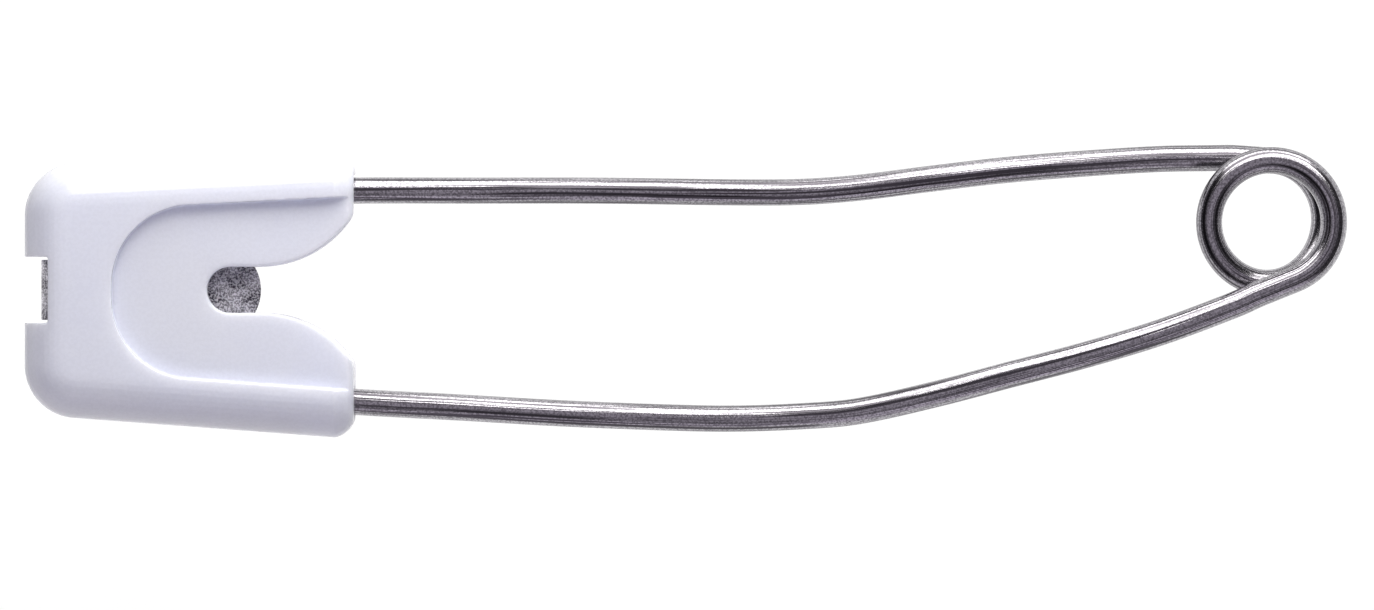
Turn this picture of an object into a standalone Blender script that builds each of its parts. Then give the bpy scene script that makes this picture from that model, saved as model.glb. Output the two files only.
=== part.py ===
"""Nappy safety pin, 55 mm long, closed and lying on its back.

The coil is at +X and the plastic head at -X. The pin arm is on the +Y side and the
fixed arm on the -Y side. The front of the head faces +Z, and its flat back lies on z = 0.
All lengths are in metres.
"""

import math

import bmesh
import bpy
from mathutils import Matrix, Vector

# Whole pin
overall_length = 0.0550

# Spring wire
wire_diameter = 0.0011
coil_mean_radius = 0.00257
coil_turn_gap = 0.00053
coil_axis_height = 0.00283
coil_draw_in = 0.0003
coil_drawn_in_turn = math.radians(200)
pin_arm_exit_angle = math.radians(4)
fixed_arm_exit_angle = math.radians(22)
coil_end_length = 0.0011
pin_arm_height = 0.004135
fixed_arm_height = 0.004665
arm_settle_share = 0.45
point_length = 0.0045
point_radius = 0.00006
tip_to_head_rear = 0.00135
fixed_arm_end_to_head_rear = 0.0020
seam_gap = 0.0003

# Plastic head
head_length = 0.01372
head_thickness = 0.0046
head_rear_corner_radius = 0.0022
head_edge_rounding = 0.0018
head_front_edge_rounding = 0.0008
rim_width = 0.0020
recess_length = 0.01016
recess_corner_share = 0.988
recess_depth = 0.00045
notch_depth = 0.00607
notch_width = 0.0019
notch_flare_length = 0.00317
lobe_tip_radius = 0.0007
lobe_wall = 0.000685
slot_width = 0.00275
slot_depth = 0.00091
head_side_wall = 0.00040
head_rear_wall = 0.00103
rear_pin_side_margin = 0.00046
mouth_pin_side_margin = 0.000645
rear_fixed_side_margin = 0.000285
mouth_fixed_side_margin = 0.000435
pocket_corner_radius = 0.0008
tip_pocket_play = 0.00025
tip_rear_clearance = 0.00012
release_edge_height = 0.0009
lock_travel = 0.0007

# Metal clasp
sheet_thickness = 0.00025
wire_clearance = 0.00015
slide_clearance = 0.00015
clasp_rear_clearance = 0.0001
fold_side_clearance = 0.000125
fold_show = 0.00017
fold_strip_length = 0.0043
hook_length = 0.0040
hook_setback = 0.00075
lip_reach = 0.00030
crimp_setback = 0.0006
crimp_to_mouth = 0.0024
crimp_flange = 0.0009
tongue_width = 0.0031
tongue_end_share = 0.613
tongue_beyond_notch_end = 0.0022

# How far a cutter runs past the face that it cuts, and how close points are to be one
overrun = 0.0010
weld_distance = 0.0000015

# Fineness of the solids
coil_points_per_turn = 24
coil_bevel_resolution = 1
arm_bevel_resolution = 2
arm_points_per_span = 3
corner_steps = 8
rounding_resolution = 4
bend_steps = 6
flare_steps = 8
bore_sides = 24
smooth_angle = math.radians(30)

# The pin arm's route from above the coil's axis to its point, as shares of the run along X
# and of the rise from its straight stretch to the top of the coil.
pin_arm_route_shares = (
    (0.046, 1.083),
    (0.092, 1.051),
    (0.155, 0.893),
    (0.217, 0.688),
    (0.280, 0.395),
    (0.342, 0.087),
    (0.387, -0.040),
    (0.443, -0.055),
    (0.557, 0.0),
    (0.656, 0.0),
    (0.755, 0.0),
    (0.819, -0.060),
    (0.898, -0.186),
    (0.975, -0.344),
    (1.0, -0.407),
)

# The fixed arm's route from the coil's last turn to its end in the clasp, as shares of the
# run along X and of the drop from the coil to the head's mouth.
fixed_arm_route_shares = (
    (0.048, 0.202),
    (0.110, 0.433),
    (0.172, 0.619),
    (0.234, 0.781),
    (0.296, 0.943),
    (0.358, 1.078),
    (0.402, 1.117),
    (0.459, 1.137),
    (0.515, 1.127),
    (0.600, 1.094),
    (0.684, 1.046),
    (0.770, 1.0),
    (0.872, 0.925),
    (1.0, 0.830),
)

# Places worked out from the sizes
wire_radius = wire_diameter / 2
half_length = overall_length / 2
mid_height = head_thickness / 2
head_rear_x = -half_length
head_front_x = head_rear_x + head_length
coil_x = half_length - coil_mean_radius - wire_radius
coil_top = coil_axis_height + coil_mean_radius
coil_low = coil_axis_height - coil_mean_radius * math.cos(fixed_arm_exit_angle)
tip_height = pin_arm_height + pin_arm_route_shares[-1][1] * (coil_top - pin_arm_height)
fixed_arm_end_height = fixed_arm_route_shares[-1][1] * (coil_low + fixed_arm_height) - coil_low
coil_start_angle = math.radians(90) - pin_arm_exit_angle
coil_wrap = math.radians(540) - pin_arm_exit_angle - fixed_arm_exit_angle
pin_arm_heading = Vector((-math.cos(pin_arm_exit_angle), math.sin(pin_arm_exit_angle), 0))
fixed_arm_heading = Vector((-math.cos(fixed_arm_exit_angle), -math.sin(fixed_arm_exit_angle), 0))
clasp_mid = wire_radius + wire_clearance + sheet_thickness / 2
clasp_reach = clasp_mid + sheet_thickness / 2 + slide_clearance
pocket_rear_x = head_rear_x + head_rear_wall
tip_x = head_rear_x + tip_to_head_rear
fixed_arm_end_x = head_rear_x + fixed_arm_end_to_head_rear
clasp_rear_x = pocket_rear_x + lock_travel + clasp_rear_clearance
hook_rear_x = clasp_rear_x + hook_setback
hook_front_x = hook_rear_x + hook_length
crimp_rear_x = clasp_rear_x + crimp_setback
crimp_front_x = head_front_x - crimp_to_mouth
notch_end_x = head_front_x - notch_depth


def clear_scene():
    """Remove every object, so that the script can be run again."""
    for item in list(bpy.data.objects):
        bpy.data.objects.remove(item)


def new_collection(name):
    group = bpy.data.collections.new(name)
    bpy.context.scene.collection.children.link(group)
    return group


def new_material(name, colour, roughness, metallic):
    material = bpy.data.materials.new(name)
    material.use_nodes = True
    shader = material.node_tree.nodes["Principled BSDF"]
    shader.inputs["Base Color"].default_value = (*colour, 1)
    shader.inputs["Roughness"].default_value = roughness
    shader.inputs["Metallic"].default_value = metallic
    return material


def ease(share):
    """A smooth step from 0 to 1, flat at both ends."""
    share = min(max(share, 0), 1)
    return share * share * (3 - 2 * share)


def coil_rise():
    """The coil's advance along its axis, so that turns a full circle apart keep their gap."""
    full_turn_share = math.radians(360) / coil_wrap
    return (wire_diameter + coil_turn_gap) / ease(full_turn_share)


def coil_radius_at(turned):
    """The coil's radius, which its rear turn draws in on the side away from the arms."""
    share = min(turned / coil_drawn_in_turn, 1)
    return coil_mean_radius - coil_draw_in * math.sin(math.pi * share) ** 2


def coil_point(turned):
    """A point on the coil's centre line, by the angle turned since the pin arm leaves it."""
    angle = coil_start_angle - turned
    radius = coil_radius_at(turned)
    lift = coil_rise() * (ease(turned / coil_wrap) - 0.5)
    return Vector(
        (
            coil_x + radius * math.cos(angle),
            coil_axis_height + radius * math.sin(angle),
            mid_height + lift,
        )
    )


def pin_arm_seam():
    return coil_point(0) + pin_arm_heading * coil_end_length


def fixed_arm_seam():
    return coil_point(coil_wrap) + fixed_arm_heading * coil_end_length


def coil_points():
    """The coil's centre line: its turns, and a straight end to each arm's seam."""
    steps = math.ceil(coil_wrap / math.radians(360) * coil_points_per_turn)
    turns = [coil_point(coil_wrap * step / steps) for step in range(steps + 1)]
    first = pin_arm_seam() - pin_arm_heading * (seam_gap / 2)
    last = fixed_arm_seam() - fixed_arm_heading * (seam_gap / 2)
    return [first, *turns, last]


def least_coil_gap():
    """The least gap between the coil and itself, more than half a turn along."""
    points = coil_points()
    half_turn = coil_points_per_turn // 2
    pairs = (
        (first - second).length
        for place, first in enumerate(points)
        for second in points[place + half_turn :]
    )
    return min(pairs) - wire_diameter


def smooth_route(points, before):
    """Points read from a smooth curve through the given ones, which starts as if from before."""
    after = 2 * points[-1] - points[-2]
    nodes = [before, *points, after]
    route = []
    for place in range(1, len(nodes) - 2):
        a, b, c, d = nodes[place - 1 : place + 3]
        for step in range(arm_points_per_span):
            t = step / arm_points_per_span
            start = 2 * t**3 - 3 * t**2 + 1
            lead = t**3 - 2 * t**2 + t
            trail = t**3 - t**2
            span = (c - b).length
            out_slope = (c - a) * (span / (c - a).length)
            in_slope = (d - b) * (span / (d - b).length)
            route.append(b * start + c * (1 - start) + out_slope * lead + in_slope * trail)
    route.append(nodes[-2])
    return route


def along(start, towards, distance):
    return start + (towards - start).normalized() * distance


def arm_route(seam, heading, start_x, end_x, heights):
    """An arm's centre line from its seam, leaving the coil's layer for the middle plane.

    It starts straight along its heading, so that the two faces at the seam are parallel.
    """
    points = [seam + heading * wire_radius]
    for run_share, height in heights:
        x = start_x + (end_x - start_x) * run_share
        lift = (seam.z - mid_height) * (1 - ease(run_share / arm_settle_share))
        points.append(Vector((x, height, mid_height + lift)))
    return [seam + heading * (seam_gap / 2), *smooth_route(points, seam)]


def pin_arm_route():
    heights = [
        (run, pin_arm_height + rise * (coil_top - pin_arm_height))
        for run, rise in pin_arm_route_shares
    ]
    return arm_route(pin_arm_seam(), pin_arm_heading, coil_x, tip_x, heights)


def fixed_arm_route():
    coil_end = coil_point(coil_wrap)
    heights = [
        (run, coil_low - drop * (coil_low + fixed_arm_height))
        for run, drop in fixed_arm_route_shares
    ]
    return arm_route(fixed_arm_seam(), fixed_arm_heading, coil_end.x, fixed_arm_end_x, heights)


def height_at(route, x):
    """The height of an arm's centre line at a place along X."""
    for right, left in zip(route, route[1:]):
        if left.x <= x <= right.x:
            share = (x - right.x) / (left.x - right.x)
            return right.y + (left.y - right.y) * share
    return route[-1].y


def tapered(route):
    """The radius share at each point of the pin arm, drawn down to its point."""
    left = 0
    shares = [point_radius / wire_radius]
    for inner, outer in zip(reversed(route[:-1]), reversed(route)):
        left += (outer - inner).length
        shares.append(min(1, shares[0] + (1 - shares[0]) * left / point_length))
    return shares[::-1]


def add_wire(name, points, origin, resolution, group, material, shares=None):
    """A round wire along the points, with its ends capped and its origin at a joint."""
    curve = bpy.data.curves.new(name, "CURVE")
    curve.dimensions = "3D"
    curve.bevel_depth = wire_radius
    curve.bevel_resolution = resolution
    curve.use_fill_caps = True
    line = curve.splines.new("POLY")
    line.points.add(len(points) - 1)
    for place, point in enumerate(points):
        line.points[place].co = (*(point - origin), 1)
        line.points[place].radius = shares[place] if shares else 1
    curve.materials.append(material)
    wire = bpy.data.objects.new(name, curve)
    wire.location = origin
    group.objects.link(wire)
    return wire


def rounded_outline(corners):
    """An outline from corners (x, y, radius), each turned into an arc of that radius."""
    outline = []
    for place, (x, y, radius) in enumerate(corners):
        corner = Vector((x, y))
        if radius == 0:
            outline.append(corner)
            continue
        back = (Vector(corners[place - 1][:2]) - corner).normalized()
        onward = (Vector(corners[(place + 1) % len(corners)][:2]) - corner).normalized()
        half_angle = back.angle(onward) / 2
        centre = corner + (back + onward).normalized() * (radius / math.sin(half_angle))
        reach = radius / math.tan(half_angle)
        start = corner + back * reach - centre
        turn = start.angle_signed(corner + onward * reach - centre)
        for step in range(corner_steps + 1):
            outline.append(centre + Matrix.Rotation(-turn * step / corner_steps, 2) @ start)
    return outline


def flat_curve(name, outline, low, high, rounding=0):
    """A flat outline with a thickness from low to high, and its edges rounded if asked."""
    curve = bpy.data.curves.new(name, "CURVE")
    curve.dimensions = "2D"
    curve.fill_mode = "BOTH"
    curve.extrude = (high - low) / 2 - rounding
    if rounding:
        curve.bevel_depth = rounding
        curve.bevel_resolution = rounding_resolution
        curve.offset = -rounding
    line = curve.splines.new("POLY")
    line.points.add(len(outline) - 1)
    for place, point in enumerate(outline):
        line.points[place].co = (point.x, point.y, 0, 1)
    line.use_cyclic_u = True
    item = bpy.data.objects.new(name, curve)
    item.location.z = (low + high) / 2
    return item


def as_mesh(curve_object, group):
    """The curve object made a closed mesh object of the same name and place."""
    name = curve_object.name
    bpy.context.scene.collection.objects.link(curve_object)
    bpy.context.view_layer.update()
    evaluated = curve_object.evaluated_get(bpy.context.evaluated_depsgraph_get())
    mesh = bpy.data.meshes.new_from_object(evaluated)
    matrix = curve_object.matrix_world.copy()
    bpy.data.objects.remove(curve_object)
    work = bmesh.new()
    work.from_mesh(mesh)
    bmesh.ops.remove_doubles(work, verts=work.verts, dist=weld_distance)
    bmesh.ops.recalc_face_normals(work, faces=work.faces)
    work.to_mesh(mesh)
    work.free()
    item = bpy.data.objects.new(name, mesh)
    item.matrix_world = matrix
    group.objects.link(item)
    return item


def add_cutter(name, outline, low, high, cutters):
    cutter = as_mesh(flat_curve(name, outline, low, high), cutters)
    cutter.data.shade_flat()
    cutter.hide_render = True
    cutter.display_type = "WIRE"
    return cutter


def add_rod_cutter(name, start, end, radius, cutters):
    """A round cutter from start to end."""
    work = bmesh.new()
    way = end - start
    turn = way.to_track_quat("Z", "Y").to_matrix().to_4x4()
    bmesh.ops.create_cone(
        work,
        cap_ends=True,
        segments=bore_sides,
        radius1=radius,
        radius2=radius,
        depth=way.length,
        matrix=Matrix.Translation((start + end) / 2) @ turn,
    )
    mesh = bpy.data.meshes.new(name)
    work.to_mesh(mesh)
    work.free()
    cutter = bpy.data.objects.new(name, mesh)
    cutter.hide_render = True
    cutter.display_type = "WIRE"
    cutters.objects.link(cutter)
    return cutter


def cut(item, cutter):
    step = item.modifiers.new(cutter.name, "BOOLEAN")
    step.operation = "DIFFERENCE"
    step.object = cutter
    step.solver = "EXACT"


def box_outline(left, right, bottom, top):
    return [Vector((left, bottom)), Vector((right, bottom)), Vector((right, top)), Vector((left, top))]


def pin_side(x):
    """The head's edge on the pin arm's side, which widens towards the coil with the arm."""
    rear = tip_height + clasp_reach + rear_pin_side_margin
    mouth = pin_arm_height + clasp_reach + mouth_pin_side_margin
    return rear + (mouth - rear) * (x - head_rear_x) / head_length


def fixed_side(x):
    """The head's edge on the fixed arm's side, as a distance from the head's axis."""
    rear = fixed_arm_end_height + clasp_reach + rear_fixed_side_margin
    mouth = fixed_arm_height + clasp_reach + mouth_fixed_side_margin
    return rear + (mouth - rear) * (x - head_rear_x) / head_length


def tapered_outline(rear_x, front_x, inset, radius):
    """Four corners that follow the head's edges at an inset, with the rear two rounded."""
    return rounded_outline(
        [
            (front_x, pin_side(front_x) - inset, 0),
            (rear_x, pin_side(rear_x) - inset, radius),
            (rear_x, inset - fixed_side(rear_x), radius),
            (front_x, inset - fixed_side(front_x), 0),
        ]
    )


def notch_outline():
    """The notch: a round closed end, a straight neck and a flared mouth with rounded lips.

    The flare is one arc from the neck to the lip, and the lip leaves the lobe's wall beside
    the fixed arm.
    """
    half = notch_width / 2
    lip_height = fixed_arm_height - wire_radius - wire_clearance - lobe_wall
    flare_turn = 2 * math.atan((lip_height - half - lobe_tip_radius) / notch_flare_length)
    flare_radius = lobe_tip_radius + notch_flare_length / math.sin(flare_turn)
    end_centre = notch_end_x + half
    side = []
    for step in range(corner_steps + 1):
        angle = math.radians(180 - 90 * step / corner_steps)
        side.append(Vector((end_centre + half * math.cos(angle), half * math.sin(angle))))
    lip_centre_x = head_front_x - lobe_tip_radius
    neck_x = lip_centre_x - notch_flare_length
    for step in range(flare_steps + 1):
        turn = flare_turn * step / flare_steps
        rise = flare_radius * (1 - math.cos(turn))
        side.append(Vector((neck_x + flare_radius * math.sin(turn), half + rise)))
    lip_centre = Vector((lip_centre_x, lip_height))
    for step in range(1, corner_steps + 1):
        turn = flare_turn + (math.radians(90) - flare_turn) * step / corner_steps
        side.append(lip_centre + Vector((math.sin(turn), -math.cos(turn))) * lobe_tip_radius)
    side.append(Vector((head_front_x + overrun, lip_centre.y)))
    mirrored = [Vector((point.x, -point.y)) for point in reversed(side[1:])]
    return side + mirrored


def pocket_outline(pin_route):
    """The hollow for the clasp and the two arms, open at the mouth on the pin arm's side."""
    outer_x = head_front_x + overrun
    step_x = hook_front_x + lock_travel
    crimp_stop_x = crimp_front_x + slide_clearance
    above_arm = wire_radius + wire_clearance
    pin_wall = pin_side(pocket_rear_x) - head_side_wall
    fixed_wall = head_side_wall - fixed_side(pocket_rear_x)
    return rounded_outline(
        [
            (step_x, pin_side(step_x) - head_side_wall, 0),
            (pocket_rear_x, pin_wall, pocket_corner_radius),
            (pocket_rear_x, fixed_wall, pocket_corner_radius),
            (crimp_stop_x, head_side_wall - fixed_side(crimp_stop_x), 0),
            (crimp_stop_x, 0, 0),
            (outer_x, 0, 0),
            (outer_x, height_at(pin_route, head_front_x) + above_arm, 0),
            (step_x, height_at(pin_route, step_x) + above_arm, 0),
        ]
    )


def release_outline(pin_route):
    """The way out at the back, through which the squeezed pin arm leaves the head."""
    outer_x = head_front_x + overrun
    above_arm = wire_radius + wire_clearance
    notch_centre_x = notch_end_x + notch_width / 2
    return rounded_outline(
        [
            (outer_x, height_at(pin_route, head_front_x) + above_arm, 0),
            (pocket_rear_x, height_at(pin_route, pocket_rear_x) + above_arm, wire_radius),
            (pocket_rear_x, release_edge_height, wire_radius),
            (notch_centre_x, release_edge_height, 0),
            (notch_centre_x, 0, 0),
            (outer_x, 0, 0),
        ]
    )


def add_head(group, cutters, material, pin_route, fixed_route):
    """The moulded head: a slab with round edges, then its recess, notch, slot and hollows."""
    outer_x = head_front_x + 2 * head_edge_rounding
    slab = flat_curve(
        "plastic_head",
        tapered_outline(head_rear_x, outer_x, 0, head_rear_corner_radius),
        0,
        head_thickness,
        head_edge_rounding,
    )
    head = as_mesh(slab, group)
    square_front(head)
    recess_rear_x = head_front_x - recess_length
    inside = head_thickness + overrun
    recess_width = pin_side(recess_rear_x) + fixed_side(recess_rear_x) - 2 * rim_width
    recess_radius = recess_corner_share * recess_width / 2
    recess = tapered_outline(recess_rear_x, head_front_x + overrun, rim_width, recess_radius)
    cut(head, add_cutter("recess_cut", recess, head_thickness - recess_depth, inside, cutters))
    cut(head, add_cutter("notch_cut", notch_outline(), -overrun, inside, cutters))
    low = mid_height - clasp_reach
    high = mid_height + clasp_reach
    cut(head, add_cutter("pocket_cut", pocket_outline(pin_route), low, high, cutters))
    release = release_outline(pin_route)
    cut(head, add_cutter("release_cut", release, -overrun, mid_height, cutters))
    half_slot = slot_width / 2
    slot_x = head_rear_x + slot_depth
    slot = box_outline(head_rear_x - overrun, slot_x, -half_slot, half_slot)
    cut(head, add_cutter("slot_cut", slot, -overrun, inside, cutters))
    window = box_outline(head_rear_x, pocket_rear_x + overrun, -half_slot, half_slot)
    cut(head, add_cutter("fold_window_cut", window, low, high, cutters))
    tip_top = pin_route[-1].y + point_radius + wire_clearance
    tip_rear_x = tip_x - lock_travel - tip_rear_clearance
    tip = box_outline(tip_rear_x, pocket_rear_x + overrun, half_slot - overrun, tip_top)
    tip_half = point_radius + tip_pocket_play
    tip_cut = add_cutter("tip_pocket_cut", tip, mid_height - tip_half, mid_height + tip_half, cutters)
    cut(head, tip_cut)
    start = Vector((crimp_front_x, height_at(fixed_route, crimp_front_x), mid_height))
    mouth = Vector((head_front_x, height_at(fixed_route, head_front_x), mid_height))
    end = along(mouth, mouth * 2 - start, overrun)
    bore = wire_radius + wire_clearance
    cut(head, add_rod_cutter("fixed_arm_bore_cut", start, end, bore, cutters))
    head.data.materials.append(material)
    return head


def square_front(head):
    """Cut the slab off at the head's front and round the edge that this leaves."""
    work = bmesh.new()
    work.from_mesh(head.data)
    flat = math.radians(1)
    bmesh.ops.dissolve_limit(work, angle_limit=flat, verts=work.verts, edges=work.edges)
    place = Vector((head_front_x, 0, 0))
    everything = work.verts[:] + work.edges[:] + work.faces[:]
    result = bmesh.ops.bisect_plane(
        work,
        geom=everything,
        dist=weld_distance,
        plane_co=place,
        plane_no=Vector((1, 0, 0)),
        clear_outer=True,
    )
    edges = [item for item in result["geom_cut"] if isinstance(item, bmesh.types.BMEdge)]
    bmesh.ops.contextual_create(work, geom=edges)
    bmesh.ops.bevel(
        work,
        geom=edges,
        offset=head_front_edge_rounding,
        offset_type="OFFSET",
        segments=rounding_resolution,
        profile=0.5,
        affect="EDGES",
        clamp_overlap=False,
    )
    bmesh.ops.recalc_face_normals(work, faces=work.faces)
    work.to_mesh(head.data)
    work.free()
    head.data.shade_smooth()
    head.data.set_sharp_from_angle(angle=smooth_angle)


def clasp_outline(pin_route, fixed_route):
    """The clasp's front plate, and the ends of its edges that are bent back.

    The hook and the crimp start on the centre lines of the arms that they wrap.
    """
    half_fold = slot_width / 2 - fold_side_clearance
    half_tongue = tongue_width / 2
    tongue_end_radius = tongue_width * tongue_end_share
    tongue_x = notch_end_x + tongue_beyond_notch_end
    tongue_centre = tongue_x - tongue_end_radius
    tongue_turn = math.asin(half_tongue / tongue_end_radius)
    shoulder = hook_setback
    hook = [
        Vector((hook_front_x, height_at(pin_route, hook_front_x))),
        Vector((hook_rear_x, height_at(pin_route, hook_rear_x))),
    ]
    fold = [Vector((clasp_rear_x, half_fold)), Vector((clasp_rear_x, -half_fold))]
    crimp = [
        Vector((crimp_rear_x, height_at(fixed_route, crimp_rear_x))),
        Vector((crimp_front_x, height_at(fixed_route, crimp_front_x))),
    ]
    outline = [
        Vector((hook_front_x, half_tongue + shoulder)),
        *hook,
        Vector((hook_rear_x, hook[1].y - shoulder)),
        Vector((clasp_rear_x, hook[1].y - 2 * shoulder)),
        *fold,
        Vector((clasp_rear_x, crimp[0].y + shoulder)),
        *crimp,
        Vector((crimp_front_x, crimp[1].y + shoulder)),
        Vector((notch_end_x, -half_tongue)),
    ]
    for step in range(corner_steps + 1):
        turn = tongue_turn * (2 * step / corner_steps - 1)
        tip = Vector((math.cos(turn), math.sin(turn))) * tongue_end_radius
        outline.append(Vector((tongue_centre, 0)) + tip)
    outline.append(Vector((notch_end_x, half_tongue)))
    return outline, hook, fold, crimp


def edge_between(work, first, last):
    """The sheet's edge whose middle lies midway between two places."""
    middle = (first + last) / 2
    return min(
        work.edges,
        key=lambda edge: ((edge.verts[0].co + edge.verts[1].co) / 2 - middle).length,
    )


def draw_out(work, edge, move):
    """Extrude an edge of the sheet by a move, and return the edge that this makes."""
    result = bmesh.ops.extrude_edge_only(work, edges=[edge])
    fresh = [item for item in result["geom"] if isinstance(item, bmesh.types.BMVert)]
    bmesh.ops.translate(work, verts=fresh, vec=move)
    return next(item for item in result["geom"] if isinstance(item, bmesh.types.BMEdge))


def bend_back(work, edge, outward, flange):
    """Wrap the sheet half round from an edge, then on by a flat flange."""
    up = Vector((0, 0, clasp_mid))
    place = up
    for step in range(1, bend_steps + 1):
        turn = math.radians(180) * step / bend_steps
        reached = outward * (clasp_mid * math.sin(turn)) + up * math.cos(turn)
        edge = draw_out(work, edge, reached - place)
        place = reached
    draw_out(work, edge, outward * -flange)


def add_clasp(group, material, pin_route, fixed_route):
    """The clasp, folded from one sheet: plate and tongue, hook, crimp and rear fold."""
    outline, hook, fold, crimp = clasp_outline(pin_route, fixed_route)
    level = mid_height + clasp_mid
    work = bmesh.new()
    verts = [work.verts.new((*point, level)) for point in outline]
    edges = [work.edges.new((verts[place - 1], verts[place])) for place in range(len(verts))]
    bmesh.ops.contextual_create(work, geom=edges)
    bends = []
    for ends, flange in ((hook, lip_reach), (fold, fold_strip_length), (crimp, crimp_flange)):
        first, last = (Vector((*end, level)) for end in ends)
        outward = (last - first).normalized().cross(Vector((0, 0, 1)))
        bends.append([edge_between(work, first, last), outward, flange])
    fold_x = head_rear_x + slot_depth - fold_show + sheet_thickness / 2 + clasp_mid
    bends[1][0] = draw_out(work, bends[1][0], Vector((fold_x - clasp_rear_x, 0, 0)))
    for edge, outward, flange in bends:
        bend_back(work, edge, outward, flange)
    bmesh.ops.recalc_face_normals(work, faces=work.faces)
    mesh = bpy.data.meshes.new("metal_clasp")
    work.to_mesh(mesh)
    work.free()
    clasp = bpy.data.objects.new("metal_clasp", mesh)
    group.objects.link(clasp)
    wall = clasp.modifiers.new("sheet", "SOLIDIFY")
    wall.thickness = sheet_thickness
    wall.offset = 0
    wall.use_even_offset = True
    mesh.materials.append(material)
    return clasp


def main():
    clear_scene()
    pin = new_collection("safety_pin")
    cutters = new_collection("cutters")
    wire_metal = new_material("nickel_wire", (0.56, 0.55, 0.56), 0.28, 1.0)
    sheet_metal = new_material("clasp_steel", (0.42, 0.41, 0.44), 0.45, 1.0)
    plastic = new_material("white_plastic", (0.80, 0.81, 0.86), 0.30, 0.0)
    pin_route = pin_arm_route()
    fixed_route = fixed_arm_route()
    coil_axis = Vector((coil_x, coil_axis_height, mid_height))
    add_wire("spring_coil", coil_points(), coil_axis, coil_bevel_resolution, pin, wire_metal)
    add_wire(
        "pin_arm",
        pin_route,
        pin_arm_seam(),
        arm_bevel_resolution,
        pin,
        wire_metal,
        tapered(pin_route),
    )
    add_wire("fixed_arm", fixed_route, fixed_route[0], arm_bevel_resolution, pin, wire_metal)
    add_clasp(pin, sheet_metal, pin_route, fixed_route)
    add_head(pin, cutters, plastic, pin_route, fixed_route)
    print(f"Least gap between turns of the coil: {least_coil_gap() * 1000:.2f} mm")


main()
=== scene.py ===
"""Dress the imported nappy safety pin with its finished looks, light it and set its camera.

The pin is closed, with its back down. The coil is at +X, the plastic head at -X, the pin arm
on the +Y side and the fixed arm on the -Y side, and the front of the head faces +Z.
All lengths are in metres, unless a name ends in _mm.
"""

import math
from itertools import accumulate
from types import SimpleNamespace

import bmesh
import bpy
from mathutils import Matrix, Vector, kdtree


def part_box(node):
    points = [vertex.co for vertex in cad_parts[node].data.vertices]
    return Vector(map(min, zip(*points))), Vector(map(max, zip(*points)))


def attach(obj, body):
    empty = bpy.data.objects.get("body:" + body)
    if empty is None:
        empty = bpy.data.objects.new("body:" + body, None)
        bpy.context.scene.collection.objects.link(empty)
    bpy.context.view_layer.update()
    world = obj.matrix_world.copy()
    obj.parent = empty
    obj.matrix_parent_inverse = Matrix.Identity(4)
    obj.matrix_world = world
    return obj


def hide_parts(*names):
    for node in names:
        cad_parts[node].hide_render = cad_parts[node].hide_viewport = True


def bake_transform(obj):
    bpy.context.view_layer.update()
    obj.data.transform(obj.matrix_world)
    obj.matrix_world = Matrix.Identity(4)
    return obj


bl_info = {
    "name": "Nappy Safety Pin",
    "version": (1, 0, 0),
    "blender": (4, 5, 0),
    "location": "View3D > Sidebar > Safety Pin",
    "description": "Builds a safety pin with a plastic head, its lights, floor and camera",
    "category": "Add Mesh",
}

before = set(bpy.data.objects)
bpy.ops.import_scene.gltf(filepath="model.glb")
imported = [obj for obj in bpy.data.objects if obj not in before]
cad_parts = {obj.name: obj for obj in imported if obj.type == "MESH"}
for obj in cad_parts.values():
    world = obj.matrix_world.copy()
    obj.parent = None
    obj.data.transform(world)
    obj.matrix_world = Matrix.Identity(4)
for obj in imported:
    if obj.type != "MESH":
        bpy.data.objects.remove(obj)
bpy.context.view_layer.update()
node_boxes = [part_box(node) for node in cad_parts]
cad_length = max(high.x for low, high in node_boxes) - min(low.x for low, high in node_boxes)
head_low, head_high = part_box("plastic_head")
cad_thickness = head_high.z - head_low.z

# The pin arm's route from above the coil's axis to its point, as shares of the run along X
# and of the rise from its straight stretch to the top of the coil.
pin_arm_route_shares = (
    (0.046, 1.083),
    (0.092, 1.051),
    (0.155, 0.893),
    (0.217, 0.688),
    (0.280, 0.395),
    (0.342, 0.087),
    (0.387, -0.040),
    (0.443, -0.055),
    (0.557, 0.0),
    (0.656, 0.0),
    (0.755, 0.0),
    (0.819, -0.060),
    (0.898, -0.186),
    (0.975, -0.344),
    (1.0, -0.407),
)

# The fixed arm's route from the coil's last turn to its end in the clasp, as shares of the
# run along X and of the drop from the coil to the head's mouth.
fixed_arm_route_shares = (
    (0.048, 0.202),
    (0.110, 0.433),
    (0.172, 0.619),
    (0.234, 0.781),
    (0.296, 0.943),
    (0.358, 1.078),
    (0.402, 1.117),
    (0.459, 1.137),
    (0.515, 1.127),
    (0.600, 1.094),
    (0.684, 1.046),
    (0.770, 1.0),
    (0.872, 0.925),
    (1.0, 0.830),
)

# Spring wire
coil_and_exits_turn = 1.5 * math.tau
pin_arm_exit_angle = math.radians(4)
fixed_arm_exit_angle = math.radians(22)
pin_arm_heading = Vector((-math.cos(pin_arm_exit_angle), math.sin(pin_arm_exit_angle), 0))
fixed_arm_heading = Vector((-math.cos(fixed_arm_exit_angle), -math.sin(fixed_arm_exit_angle), 0))
coil_end_length = 0.0011
coil_draw_in = 0.0003
coil_drawn_in_turn = math.radians(200)
arm_settle_share = 0.45
point_length = 0.0045
point_radius = 0.00006
tip_to_head_rear = 0.00135
fixed_arm_end_to_head_rear = 0.0020

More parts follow.
